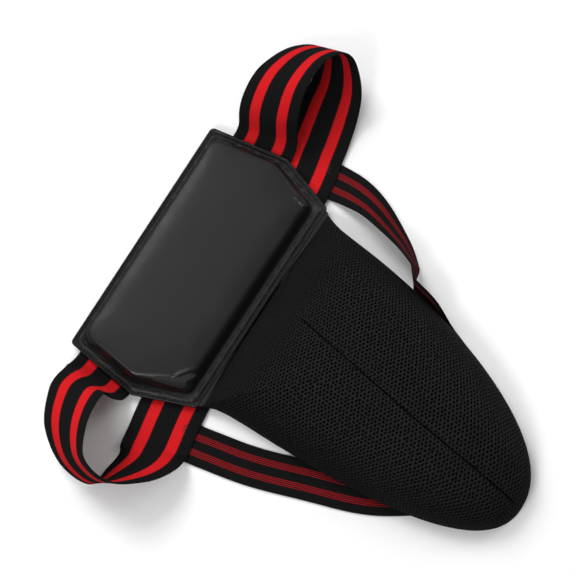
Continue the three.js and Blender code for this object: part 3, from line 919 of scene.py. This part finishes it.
# ---- pouch ----
def seam_x_mm(y):
    """Sideways place of the pouch's centre seam at a distance y below the pad."""
    t = np.abs(y) - 29.5
    return 2.0 - 0.245 * t + 0.00044 * t**2


def seam_strength(y):
    """How deep the seam's valley is: it starts below the fold and runs out near the tip."""
    return 1 / (1 + np.exp((y + 40) / 4.0))


def pouch_surface(depth_mm, around, rings, valley_share):
    """Points of the pouch's dome, moved inwards by a depth, as rings from the crest outwards."""
    curve = int(around * 0.78)
    outline = pouch_outline(depth_mm, curve, around - curve)
    outline = even_steps(outline, around)
    crest = np.array([lean_mm(CREST_MM), CREST_MM])
    result = []
    for k in range(rings + 1):
        angle = pi / 2 * (1 - k / rings)
        spread = cos(angle) ** (2 / DOME_POWER)
        flat = crest + (outline - crest) * spread
        climb = 1 - np.exp(np.minimum(flat[:, 1], 0) / TOP_RISE_MM)
        rise = (POUCH_RISE / MM - depth_mm) * sin(angle) * climb
        away = flat[:, 0] - seam_x_mm(flat[:, 1])
        depth = seam_strength(flat[:, 1]) * np.minimum(1, rise / 14)
        valley = -1.6 * np.exp(-(np.abs(away) / 2.6) ** 1.2) - 0.7 * np.exp(-(away / 14) ** 2)
        bulge = 1.1 * np.exp(-((np.abs(away) - 24) / 15) ** 2)
        rise = rise + depth * (valley * valley_share + bulge)
        result.append(np.column_stack([flat, rise]))
    return np.array(result)


def pouch_base(depth_mm, around=150, rings=44, valley_share=1.0):
    """The dome as a mesh object with a single crest point."""
    grid = pouch_surface(depth_mm, around, rings, valley_share)
    crest = grid[0].mean(0)
    points = [at(crest[0], crest[1], POUCH_BASE_Z + crest[2] * MM)]
    for ring in grid[1:]:
        points += [at(x, y, POUCH_BASE_Z + z * MM) for x, y, z in ring]
    faces = [(0, 1 + i, 1 + (i + 1) % around) for i in range(around)]
    faces += [tuple(1 + i for i in face) for face in ring_faces(rings, around)]
    return points, faces


def unwrapped(obj):
    """The mesh's flat pattern, in metres: one (u, v) for each vertex."""
    bpy.context.view_layer.objects.active = obj
    obj.select_set(True)
    obj.data.uv_layers.new(name="pattern")
    bpy.ops.object.mode_set(mode="EDIT")
    bpy.ops.mesh.select_all(action="SELECT")
    bpy.ops.uv.unwrap(method="ANGLE_BASED", margin=0.0)
    bpy.ops.object.mode_set(mode="OBJECT")
    mesh = obj.data
    flat = np.zeros(len(mesh.loops) * 2, np.float32)
    mesh.uv_layers["pattern"].data.foreach_get("uv", flat)
    corners = np.zeros(len(mesh.loops), np.int32)
    mesh.loops.foreach_get("vertex_index", corners)
    uv = np.zeros((len(mesh.vertices), 2))
    uv[corners] = flat.reshape(-1, 2)
    return uv


def pattern_in_metres(uv, points, faces):
    """Scales and turns the pattern so that it has the surface's area and its length lies along v."""
    tris = np.array([(f[0], f[k], f[k + 1]) for f in faces for k in range(1, len(f) - 1)])
    a, b, c = (points[tris[:, i]] for i in range(3))
    area = np.linalg.norm(np.cross(b - a, c - a), axis=1).sum() / 2
    p, q, r = (uv[tris[:, i]] for i in range(3))
    flat_area = abs((q - p)[:, 0] * (r - p)[:, 1] - (q - p)[:, 1] * (r - p)[:, 0]).sum() / 2
    uv = uv * sqrt(area / flat_area)
    tip = points[:, 1].argmin()
    top = np.nonzero(points[:, 1] > points[:, 1].max() - 1.5 * MM)[0]
    axis = uv[top].mean(0) - uv[tip]
    axis /= np.linalg.norm(axis)
    turned = np.column_stack([uv @ np.array([axis[1], -axis[0]]), uv @ axis])
    return turned, tris


def net_cell(pitch):
    """One hexagonal cell of the net about (0, 0): rings of offsets with the height of each ring."""
    corners = []
    for i in range(6):
        angle = pi / 3 * i
        next_angle = pi / 3 * (i + 1)
        a = np.array([cos(angle), sin(angle)]) * pitch / sqrt(3)
        b = np.array([cos(next_angle), sin(next_angle)]) * pitch / sqrt(3)
        corners += [a, (a + b) / 2]
    outer = np.array(corners)
    hole = unit(outer) * NET_HOLE * np.array([1.2, 0.82])
    shoulder = outer * 0.32 + hole * 0.68
    return [(outer, 0.42 * MM), (shoulder, 0.34 * MM), (hole, 0.0), (hole * 1.04, -0.42 * MM),
            (outer, -0.5 * MM)]


def pouch_net(base, faces):
    """The mesh cover: a net of staggered holes laid over the dome through its flat pattern."""
    points = vertices(base)
    uv, tris = pattern_in_metres(unwrapped(base), points, faces)
    normals = np.array([tuple(v.normal) for v in base.data.vertices])
    lookup = BVHTree.FromPolygons([Vector((u, v, 0)) for u, v in uv], [tuple(t) for t in tris])

    def lift(spot, height):
        """The point of the dome above a spot of its flat pattern, raised by a height."""
        hit, _, index, _ = lookup.find_nearest(Vector((spot[0], spot[1], 0)))
        a, b, c = tris[index]
        p, q, r = uv[a], uv[b], uv[c]
        area = (q[0] - p[0]) * (r[1] - p[1]) - (q[1] - p[1]) * (r[0] - p[0])
        wq = ((hit.x - p[0]) * (r[1] - p[1]) - (hit.y - p[1]) * (r[0] - p[0])) / area
        wr = ((q[0] - p[0]) * (hit.y - p[1]) - (q[1] - p[1]) * (hit.x - p[0])) / area
        raised = points + height * normals
        return raised[a] * (1 - wq - wr) + raised[b] * wq + raised[c] * wr

    rings = net_cell(NET_PITCH)
    low, high = uv.min(0), uv.max(0)
    column_step = NET_PITCH * sqrt(3) / 2
    made_points, made_faces = [], []
    random = np.random.default_rng(12)
    columns = int((high[0] - low[0]) / column_step) + 2
    rows = int((high[1] - low[1]) / NET_PITCH) + 2
    for i in range(columns):
        for j in range(rows):
            centre = low + np.array([i * column_step, (j + 0.5 * (i % 2)) * NET_PITCH])
            spot = lookup.find_nearest(Vector((centre[0], centre[1], 0)))
            if (spot[0] - Vector((centre[0], centre[1], 0))).length > 0.3 * NET_PITCH:
                continue
            first = len(made_points)
            drift = random.normal(size=2) * 0.07 * NET_PITCH
            for k, (ring, height) in enumerate(rings):
                loose = drift if 0 < k < 4 else 0.0
                for offset in ring:
                    made_points.append(lift(centre + offset + loose, height))
            made_faces += [tuple(first + k for k in face) for face in ring_faces(len(rings), 12)]
    net = piece("pouch_net", made_points, made_faces, "spacer_mesh")
    edited(net, lambda shape: bmesh.ops.remove_doubles(shape, verts=shape.verts, dist=0.04 * MM))
    return face_outwards(net)


def pouch_cover():
    points, faces = pouch_base(0.6)
    base = face_outwards(piece("pouch_guide", points, faces, "spacer_mesh"))
    if base.data.polygons[0].normal.z < 0:
        base.data.flip_normals()
    net = pouch_net(base, faces)
    bpy.data.objects.remove(base)
    return net


def pouch_backing():
    """The inner face of the spacer mesh, seen through the net's holes."""
    points, faces = pouch_base(2.4, 110, 26, 0.4)
    backing = face_outwards(piece("pouch_net_backing", points, faces, "lining"))
    skin = backing.modifiers.new("Skin", "SOLIDIFY")
    skin.thickness = 0.6 * MM
    skin.offset = -1
    return applied(backing)


def pouch_seam():
    """The thread line sunk in the valley of the pouch's centre seam. Its near-black, almost matt colour is
    partly the thread's own and partly painted shade of the seam's groove.
    """
    ys = np.arange(-33.0, -236.0, -2.6)
    points, faces = pouch_base(0.6)
    lookup = BVHTree.FromPolygons(points, faces)
    path = []
    for y in ys:
        hit, normal, _, _ = lookup.ray_cast(at(seam_x_mm(y), y, 1.0), Vector((0, 0, -1)))
        if hit is not None:
            up = normal if normal.z > 0 else -normal
            path.append((hit + up * 0.45 * MM, up))
    return capsules("pouch_seam_stitches", path, 0.62 * MM, 0.98, 0.1 * MM, "seam_thread_and_painted_groove_shade")


def opening_outline(grow, count):
    """The cup opening in the pouch's back."""
    low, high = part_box("cup_opening_elastic")
    half = (high.y - low.y) / 2 / MM + grow
    middle = ((low + high) / 2 - ORIGIN) / MM
    angle = pi + 2 * pi * np.arange(count) / count
    y = middle.y + half * np.sin(angle)
    return np.column_stack([lean_mm(y) + (half + 12) * np.cos(angle), y])


def pouch_back():
    """The pouch's cloth back: a thin sheet, gathered round the cup opening."""
    count = 220
    rows = 14
    outer = even_steps(pouch_outline(3.7, 200, 60), count)
    inner = opening_outline(0.3, count)
    points = []
    for drop, direction in ((0.0, 1), (0.8, -1)):
        for r in range(rows)[::direction]:
            t = r / (rows - 1)
            flat = outer * (1 - t) + inner * t
            gathers = 0.35 * t**3 * np.sin(np.arange(count) * 2 * pi * 30 / count)
            slack = 0.25 * np.sin(flat[:, 0] / 9) * np.sin(flat[:, 1] / 11) * sin(pi * t)
            z = BINDING_HIGH.z - 0.1 * MM + (gathers + slack - drop) * MM
            points += [at(x, y, height) for (x, y), height in zip(flat, z)]
    faces = ring_faces(2 * rows, count, closed_rows=True)
    return face_outwards(piece("pouch_back_cloth", points, faces, "lining"))


def tube(name, rings, slot, closed=True, look=None):
    faces = ring_faces(len(rings), len(rings[0]), closed_rows=closed)
    return face_outwards(piece(name, [p for ring in rings for p in ring], faces, slot, look=look))


def round_power(value, power):
    return copysign(abs(value) ** power, value)


def hem(name, inner, outer, z, thickness, powers, puffs, puff_height, sides):
    """A puffed band of tape between two closed outlines. powers square off its cross-section."""
    count = len(inner)
    rings = []
    for i in range(count):
        half = thickness / 2 * (1 + puff_height * sin(2 * pi * i * puffs / count))
        ring = []
        for k in range(sides):
            angle = 2 * pi * k / sides
            share = 0.5 + 0.5 * round_power(cos(angle), powers[0])
            x, y = inner[i] * (1 - share) + outer[i] * share
            ring.append(at(x, y, z + round_power(sin(angle), powers[1]) * half))
        rings.append(ring)
    return tube(name, rings, "binding")


def opening_elastic():
    """The gathered elastic edge of the cup opening."""
    inner, outer = (opening_outline(grow, 360) for grow in (-3.7, -0.2))
    return hem("cup_opening_gathered_edge", inner, outer, BINDING_HIGH.z - 0.45 * MM, 0.84 * MM,
               (1, 1), 60, 0.35, 10)


def edge_binding():
    """The folded tape round the pouch's edge."""
    inner, outer = (even_steps(pouch_outline(inset, 260, 80), 420) for inset in (3.3, 0.0))
    return hem("pouch_bound_edge", inner, outer, (BINDING_LOW.z + BINDING_HIGH.z) / 2, 1.0 * MM,
               (0.6, 0.7), 105, 0.12, 12)


def fold_tape():
    """The narrow doubled leather edge that the pouch hangs from, just below the pad's lower edge."""
    columns = [(1.5, -0.9), (0.4, -0.75), (-0.8, -0.7), (-2.0, -0.7), (-3.0, -0.85),
               (-3.6, -1.2), (-3.7, -1.7), (-3.2, -2.0), (0.0, -2.0), (1.5, -1.6)]
    rows = 260
    half = PAD_LOWER_MM - 2.5
    rings = []
    for i in range(rows + 1):
        share = 2 * i / rows - 1
        run = share * half
        pucker = 0.12 * sin(2 * pi * run / STITCH_PITCH_MM)
        taper = max(0.0, abs(share) - 0.97) / 0.03
        drift = 0.15 * sin(run / 13) + lower_bow_mm(np.array(run))
        rings.append([at(run, y * (1 - 0.5 * taper) + drift, PAD_BORDER_Z + (z + pucker) * MM)
                      for y, z in columns])
    made = tube("pouch_fold_edge", rings, "leather", closed=False)
    return edited(made, lambda shape: bmesh.ops.holes_fill(
        shape, edges=[e for e in shape.edges if e.is_boundary], sides=0))


# ---- assembly ----
def dress_pad():
    nodes = ((pad_pillow(), "pad_cover"), (pad_border(), "pad_cover"),
             (pad_stitches(), "pad_edge_stitching"), (closing_stitches(), "pad_closing_stitching"),
             (pad_back(), "pad_back_lining"))
    for made, name in nodes:
        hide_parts(name)
        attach(made, "pad")


def dress_pouch():
    net, backing, tape = pouch_cover(), pouch_backing(), fold_tape()
    for made in (net, backing, tape):
        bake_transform(made)
    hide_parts("pouch_mesh_cover")
    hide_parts("pouch_fold_tape")
    nodes = ((pouch_seam(), "pouch_centre_seam"), (pouch_back(), "pouch_back_lining"),
             (opening_elastic(), "cup_opening_elastic"), (edge_binding(), "pouch_edge_binding"))
    for made, name in nodes:
        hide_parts(name)
        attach(made, "pouch")


def dress_straps():
    for side, name in ((1, "right"), (-1, "left")):
        band, start, end = waistband_side(side)
        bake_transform(band)
        webbing_piece, start, end = leg_strap(name)
        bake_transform(webbing_piece)
        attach(bartack(name), "pad")


def dress_cad_nodes():
    """The CAD nodes that stay: hidden foam and the cup get their finish, and all but the cup's rim cushion
    get smooth shading.
    """
    finishes = {"pad_foam_core": "foam", "pouch_foam_liner": "foam",
                "cup_shell": "cup_plastic", "cup_rim_cushion": "cup_rubber"}
    for name, slot in finishes.items():
        cad = frame["nodes"][name]
        cad.data.materials.clear()
        cad.data.materials.append(LOOKS[slot])
        if slot == "cup_rubber":
            continue
        cad.data.polygons.foreach_set("use_smooth", np.ones(len(cad.data.polygons), bool))
        cad.modifiers.new("Edges", "EDGE_SPLIT").split_angle = radians(40)


def area_light(name, place_m, target, size, power, shows=True):
    """A soft rectangular light; shows says whether glossy surfaces mirror it."""
    data = bpy.data.lights.new(name, "AREA")
    data.shape = "RECTANGLE"
    data.size, data.size_y = size
    data.energy = power
    lamp = bpy.data.objects.new(name, data)
    lamp.location = place_m
    lamp.visible_glossy = shows
    lamp.rotation_euler = (Vector(target) - Vector(place_m)).to_track_quat("-Z", "Y").to_euler()
    SCENE.collection.objects.link(lamp)


CAMERA_TURN = radians(57.8)
CAMERA_TILT = radians(15.0)
CAMERA_DISTANCE = 1.3
CAMERA_LENS_MM = 107.25
PICTURE_RIGHT = Vector((cos(CAMERA_TURN), -sin(CAMERA_TURN), 0))
PICTURE_UP = Vector((sin(CAMERA_TURN), cos(CAMERA_TURN), 0))


def seen_from(right, up, height):
    """A place above the floor, given along the picture's own right and up directions."""
    return at(21, -9, 0) + PICTURE_RIGHT * right + PICTURE_UP * up + UP * height


def studio():
    """Pale floor, pale surroundings and four large soft lights."""
    floor = piece("floor", [(-4, -4, 0), (4, -4, 0), (4, 4, 0), (-4, 4, 0)], [(0, 1, 2, 3)], "thread")
    floor.data.materials.clear()
    floor.data.materials.append(material("pale_floor", pale_floor))
    floor.location.z = min(CAD_BOUNDS[0][2], 0.0) - 0.4 * MM
    SCENE.world = surroundings()
    middle = tuple(at(0, -30, 0))
    area_light("key", seen_from(-0.7, 0.9, 1.3), middle, (0.9, 0.9), 15, shows=False)
    area_light("window", seen_from(-0.55, 0.75, 1.3), middle, (0.4, 0.7), 4)
    area_light("front", seen_from(-0.6, -0.9, 1.2), middle, (0.6, 0.4), 10)
    area_light("rim", seen_from(1.0, 0.6, 0.7), middle, (0.6, 0.9), 5)


def surroundings():
    """A soft grey world, brightest overhead and towards the picture's upper left, and pale in view."""
    world = bpy.data.worlds.new("studio")
    world.use_nodes = True
    tree = world.node_tree
    brightest = (PICTURE_UP * 0.5 - PICTURE_RIGHT * 0.4 + Vector((0, 0, 1))).normalized()
    direction = node(tree, "ShaderNodeTexCoord", output=0)
    inputs = {0: direction, 1: tuple(brightest)}
    facing = node(tree, "ShaderNodeVectorMath", inputs, output=1, operation="DOT_PRODUCT")
    background = tree.nodes["Background"]
    background.inputs["Color"].default_value = (1, 1, 1, 1)
    in_view = maths(tree, "MULTIPLY", node(tree, "ShaderNodeLightPath"), 0.95)
    glow = maths(tree, "MAXIMUM", ramp(tree, facing, -0.1, 1.0, 0.06, 0.6), in_view)
    tree.links.new(glow, background.inputs["Strength"])
    return world


def camera():
    data = bpy.data.cameras.new("camera")
    data.lens = CAMERA_LENS_MM
    data.sensor_width = 36
    back = -PICTURE_UP * sin(CAMERA_TILT) + UP * cos(CAMERA_TILT)
    up = PICTURE_UP * cos(CAMERA_TILT) + UP * sin(CAMERA_TILT)
    eye = bpy.data.objects.new("camera", data)
    turned = Matrix((PICTURE_RIGHT, up, back)).transposed().to_4x4()
    turned.translation = at(20.97, -8.78, 15 * MM) + back * CAMERA_DISTANCE
    eye.matrix_world = turned
    SCENE.collection.objects.link(eye)
    SCENE.camera = eye


dress_pad()
dress_pouch()
dress_straps()
dress_cad_nodes()
studio()
camera()
SCENE.view_settings.view_transform = "Standard"
